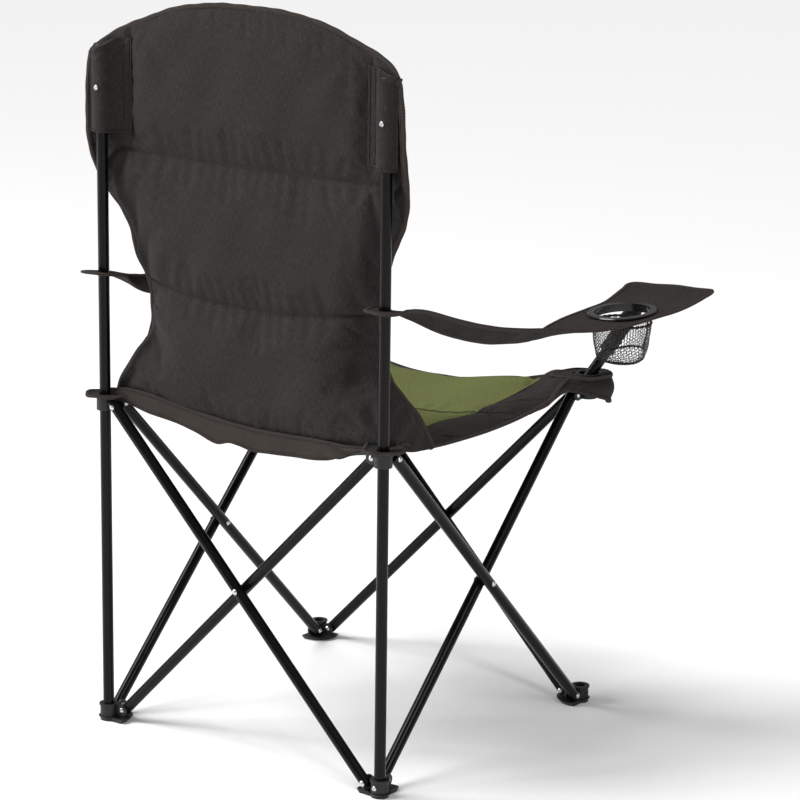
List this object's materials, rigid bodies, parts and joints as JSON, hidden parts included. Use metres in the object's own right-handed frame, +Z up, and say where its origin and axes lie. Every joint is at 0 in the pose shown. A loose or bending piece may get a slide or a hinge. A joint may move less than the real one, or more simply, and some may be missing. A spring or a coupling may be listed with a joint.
{
  "type": "folding camp chair",
  "caption": "Folding quad-style camp chair with crossed round-tube legs, padded fabric back and hanging seat, fabric arms and a mesh cup holder.",
  "frame": {"origin": "on the floor, under the middle of the whole chair's outline, arms included; the middle of the four posts is 26.6 mm behind it", "axes": "+Z up; -Y is the front, the way a sitter faces; -X is the sitter's right, where the cup holder is"},
  "size_m": [0.8106, 0.6052, 1.066],
  "materials": {
    "powder_coat": "near-black satin powder coat on round steel tube",
    "zinc": "bright zinc-plated rivets and screws",
    "moulded_plastic": "black moulded nylon or polypropylene, fine texture",
    "ring_plastic": "smooth black injection-moulded ring",
    "black_polyester": "black woven polyester, coated, visible oxford weave",
    "olive_polyester": "olive green woven polyester, quilted over thin foam",
    "mesh": "black open polyester mesh"
  },
  "bodies": {
    "right_rear_upright": {"rear_right_post": "powder_coat", "rear_right_post_cap": "moulded_plastic", "rear_right_foot": "moulded_plastic", "rear_right_foot_rivets": "zinc", "rear_right_foot_screw": "zinc", "rear_right_pocket": "black_polyester", "rear_right_pocket_screw": "zinc", "back_panel": "black_polyester"},
    "left_rear_upright": {"rear_left_post": "powder_coat", "rear_left_post_cap": "moulded_plastic", "rear_left_foot": "moulded_plastic", "rear_left_foot_rivets": "zinc", "rear_left_foot_screw": "zinc", "rear_left_pocket": "black_polyester", "rear_left_pocket_screw": "zinc"},
    "right_rear_hub": {"rear_right_hub": "moulded_plastic", "rear_right_hub_rivets": "zinc", "rear_right_seat_corner": "black_polyester", "right_arm_panel": "black_polyester"},
    "left_rear_hub": {"rear_left_hub": "moulded_plastic", "rear_left_hub_rivets": "zinc", "rear_left_seat_corner": "black_polyester", "left_arm_panel": "black_polyester"},
    "right_front_foot": {"front_right_foot": "moulded_plastic", "front_right_foot_rivets": "zinc"},
    "left_front_foot": {"front_left_foot": "moulded_plastic", "front_left_foot_rivets": "zinc"},
    "right_front_hub": {"front_right_hub": "moulded_plastic", "front_right_hub_rivets": "zinc", "front_right_seat_corner": "black_polyester", "right_seat_eyelet": "moulded_plastic"},
    "left_front_hub": {"front_left_hub": "moulded_plastic", "front_left_hub_rivets": "zinc", "front_left_seat_corner": "black_polyester", "left_seat_eyelet": "moulded_plastic"},
    "right_arm": {"right_arm_post": "powder_coat", "right_arm_pin": "zinc", "right_arm_post_cap": "moulded_plastic", "right_arm_sleeve": "black_polyester"},
    "left_arm": {"left_arm_post": "powder_coat", "left_arm_pin": "zinc", "left_arm_post_cap": "moulded_plastic", "left_arm_sleeve": "black_polyester"},
    "cup_holder": {"cup_ring": "ring_plastic", "cup_bag": "mesh"},
    "seat_right": {"seat_right": "olive_polyester"},
    "seat_left": {"seat_left": "olive_polyester"},
    "back_outer": {"back_outer_tube": "powder_coat", "back_cross_rivet": "zinc"},
    "back_inner": {"back_inner_tube": "powder_coat"},
    "right_outer": {"right_outer_tube": "powder_coat", "right_cross_rivet": "zinc"},
    "right_inner": {"right_inner_tube": "powder_coat"},
    "front_outer": {"front_outer_tube": "powder_coat", "front_cross_rivet": "zinc"},
    "front_inner": {"front_inner_tube": "powder_coat"},
    "left_outer": {"left_outer_tube": "powder_coat", "left_cross_rivet": "zinc"},
    "left_inner": {"left_inner_tube": "powder_coat"}
  },
  "joints": [
    {"name": "fold", "type": "hinge", "parent": "right_rear_upright", "child": "back_outer", "pos_m": [-0.2275, 0.2802, 0.016], "axis": [0, -1, 0], "range_deg": [0, 40.5], "deforming": ["back_panel", "seat_right", "seat_left", "right_arm_panel", "left_arm_panel"]},
    {"name": "back_cross", "type": "hinge", "parent": "back_outer", "child": "back_inner", "pos_m": [0, 0.2766, 0.2472], "axis": [0, -1, 0], "range_deg": [-81.01, 0]},
    {"name": "back_inner_left_foot", "type": "hinge", "parent": "back_inner", "child": "left_rear_upright", "pos_m": [0.2275, 0.2638, 0.016], "axis": [0, -1, 0], "range_deg": [0, 40.5]},
    {"name": "back_outer_left_hub", "type": "hinge", "parent": "back_outer", "child": "left_rear_hub", "pos_m": [0.2275, 0.2802, 0.4784], "axis": [0, -1, 0], "range_deg": [-40.5, 0]},
    {"name": "back_inner_right_hub", "type": "hinge", "parent": "back_inner", "child": "right_rear_hub", "pos_m": [-0.2275, 0.2638, 0.4784], "axis": [0, -1, 0], "range_deg": [0, 40.5]},
    {"name": "right_inner_rear_foot", "type": "hinge", "parent": "right_rear_upright", "child": "right_inner", "pos_m": [-0.2372, 0.2541, 0.016], "axis": [-1, 0, 0], "range_deg": [0, 40.5]},
    {"name": "right_cross", "type": "hinge", "parent": "right_inner", "child": "right_outer", "pos_m": [-0.25, 0.0266, 0.2472], "axis": [-1, 0, 0], "range_deg": [-81.01, 0]},
    {"name": "right_outer_front_foot", "type": "hinge", "parent": "right_outer", "child": "right_front_foot", "pos_m": [-0.2536, -0.2009, 0.016], "axis": [-1, 0, 0], "range_deg": [0, 40.5]},
    {"name": "right_inner_front_hub", "type": "hinge", "parent": "right_inner", "child": "right_front_hub", "pos_m": [-0.2372, -0.2009, 0.4784], "axis": [-1, 0, 0], "range_deg": [-40.5, 0]},
    {"name": "front_inner_right_foot", "type": "hinge", "parent": "right_front_foot", "child": "front_inner", "pos_m": [-0.2275, -0.2106, 0.016], "axis": [0, -1, 0], "range_deg": [0, 40.5]},
    {"name": "front_cross", "type": "hinge", "parent": "front_inner", "child": "front_outer", "pos_m": [0, -0.2234, 0.2472], "axis": [0, -1, 0], "range_deg": [-81.01, 0]},
    {"name": "front_outer_left_foot", "type": "hinge", "parent": "front_outer", "child": "left_front_foot", "pos_m": [0.2275, -0.227, 0.016], "axis": [0, -1, 0], "range_deg": [0, 40.5]},
    {"name": "front_inner_left_hub", "type": "hinge", "parent": "front_inner", "child": "left_front_hub", "pos_m": [0.2275, -0.2106, 0.4784], "axis": [0, -1, 0], "range_deg": [-40.5, 0]},
    {"name": "left_outer_rear_foot", "type": "hinge", "parent": "left_rear_upright", "child": "left_outer", "pos_m": [0.2536, 0.2541, 0.016], "axis": [-1, 0, 0], "range_deg": [0, 40.5]},
    {"name": "left_cross", "type": "hinge", "parent": "left_outer", "child": "left_inner", "pos_m": [0.25, 0.0266, 0.2472], "axis": [-1, 0, 0], "range_deg": [-81.01, 0]},
    {"name": "right_arm_lean", "type": "hinge", "parent": "right_front_hub", "child": "right_arm", "pos_m": [-0.246, -0.2194, 0.495], "axis": [-0.7071, 0.7071, 0], "range_deg": [0, 35.24]},
    {"name": "left_arm_lean", "type": "hinge", "parent": "left_front_hub", "child": "left_arm", "pos_m": [0.246, -0.2194, 0.495], "axis": [-0.7071, -0.7071, 0], "range_deg": [0, 35.24]},
    {"name": "cup_holder_swing", "type": "hinge", "parent": "right_arm", "child": "cup_holder", "pos_m": [-0.329, -0.1854, 0.613], "axis": [0, 1, 0], "range_deg": [0, 64.81]},
    {"name": "seat_right_drop", "type": "hinge", "parent": "right_rear_hub", "child": "seat_right", "pos_m": [-0.222, 0.0266, 0.471], "axis": [0, 1, 0], "range_deg": [0, 85.06]},
    {"name": "seat_left_drop", "type": "hinge", "parent": "left_rear_hub", "child": "seat_left", "pos_m": [0.222, 0.0266, 0.471], "axis": [0, -1, 0], "range_deg": [0, 85.06]}
  ],
  "couplings": [
    {"joint": "back_cross", "follows": "fold", "ratio": -2},
    {"joint": "back_inner_left_foot", "follows": "fold", "ratio": 1},
    {"joint": "back_outer_left_hub", "follows": "fold", "ratio": -1},
    {"joint": "back_inner_right_hub", "follows": "fold", "ratio": 1},
    {"joint": "right_inner_rear_foot", "follows": "fold", "ratio": 1},
    {"joint": "right_cross", "follows": "fold", "ratio": -2},
    {"joint": "right_outer_front_foot", "follows": "fold", "ratio": 1},
    {"joint": "right_inner_front_hub", "follows": "fold", "ratio": -1},
    {"joint": "front_inner_right_foot", "follows": "fold", "ratio": 1},
    {"joint": "front_cross", "follows": "fold", "ratio": -2},
    {"joint": "front_outer_left_foot", "follows": "fold", "ratio": 1},
    {"joint": "front_inner_left_hub", "follows": "fold", "ratio": -1},
    {"joint": "left_outer_rear_foot", "follows": "fold", "ratio": 1},
    {"joint": "left_cross", "follows": "fold", "ratio": -2},
    {"joint": "right_arm_lean", "follows": "fold", "ratio": 0.87},
    {"joint": "left_arm_lean", "follows": "fold", "ratio": 0.87},
    {"joint": "cup_holder_swing", "follows": "fold", "ratio": 1.6},
    {"joint": "seat_right_drop", "follows": "fold", "ratio": 2.1},
    {"joint": "seat_left_drop", "follows": "fold", "ratio": 2.1}
  ]
}
